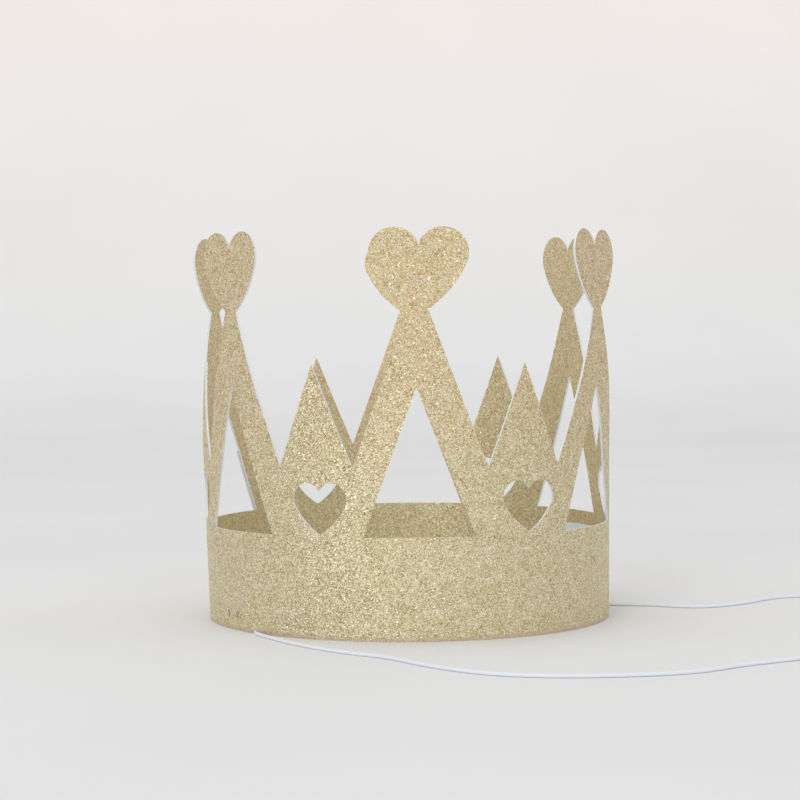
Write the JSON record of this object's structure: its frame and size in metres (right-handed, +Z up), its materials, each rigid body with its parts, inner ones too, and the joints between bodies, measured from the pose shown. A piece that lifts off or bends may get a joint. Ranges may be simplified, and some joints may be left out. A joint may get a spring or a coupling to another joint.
{
  "type": "party crown",
  "caption": "Small open card crown with heart-topped and pointed tips, triangular and heart cut-outs, and an elastic chin cord; worn upright on the head.",
  "frame": {"origin": "centre of the ring, in the plane that the crown stands on", "axes": "+Z up along the ring's axis, -Y towards the front tall point, +X to the wearer's left, where the chin cord lies"},
  "size_m": [0.1633, 0.1484, 0.0909],
  "materials": {
    "gold_glitter": "champagne-gold glitter, flakes in clear binder",
    "gold_glitter_inner": "champagne-gold glitter, seen from inside",
    "card_core": "matt white card",
    "tape": "double-sided film tape",
    "label": "blank white paper label",
    "cord": "braided white elastic",
    "thread": "white sewing thread"
  },
  "bodies": {
    "root": {"outer_glitter_layer": "gold_glitter", "card_core": "card_core", "inner_glitter_layer": "gold_glitter_inner", "seam_tape": "tape", "inside_label": "label", "elastic_cord": "cord", "left_knot": "cord", "right_knot": "cord", "left_stitches": "thread", "right_stitches": "thread"}
  },
  "joints": []
}
